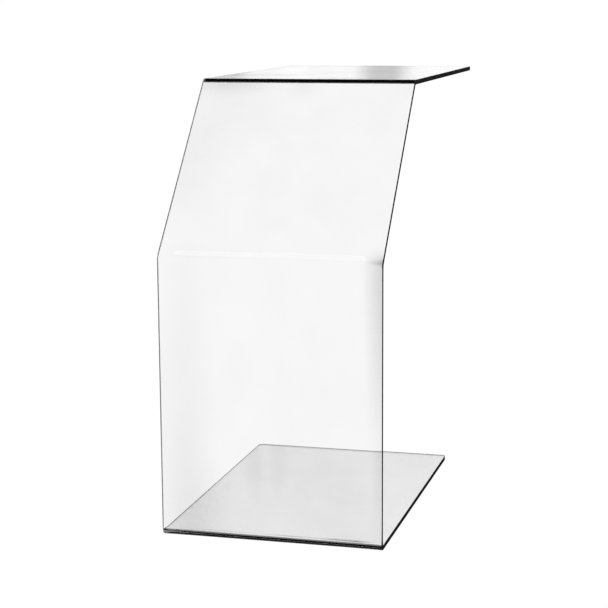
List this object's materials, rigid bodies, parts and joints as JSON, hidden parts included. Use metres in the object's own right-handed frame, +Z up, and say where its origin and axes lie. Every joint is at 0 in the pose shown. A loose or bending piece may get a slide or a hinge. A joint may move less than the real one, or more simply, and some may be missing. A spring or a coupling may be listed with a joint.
{
  "type": "presentation lectern",
  "caption": "Free-standing clear acrylic lectern bent from one sheet: base plate, upright front, backward-leaning upper panel and level top shelf, on small clear bumper feet.",
  "frame": {"origin": "on the floor, under the middle of the overall width and depth", "axes": "+Z up, +Y from the audience towards the speaker (the shelf and the base point that way), +X to the audience's right as they face the upright"},
  "size_m": [0.55, 1.21, 1.0985],
  "materials": {
    "clear_acrylic": "polished",
    "bumper_rubber": "gloss",
    "adhesive": "satin"
  },
  "bodies": {
    "root": {"bent_sheet": "clear_acrylic", "bumper_front_left": "bumper_rubber", "adhesive_front_left": "adhesive", "bumper_front_right": "bumper_rubber", "adhesive_front_right": "adhesive", "bumper_middle_left": "bumper_rubber", "adhesive_middle_left": "adhesive", "bumper_middle_right": "bumper_rubber", "adhesive_middle_right": "adhesive", "bumper_back_left": "bumper_rubber", "adhesive_back_left": "adhesive", "bumper_back_right": "bumper_rubber", "adhesive_back_right": "adhesive"}
  },
  "joints": []
}
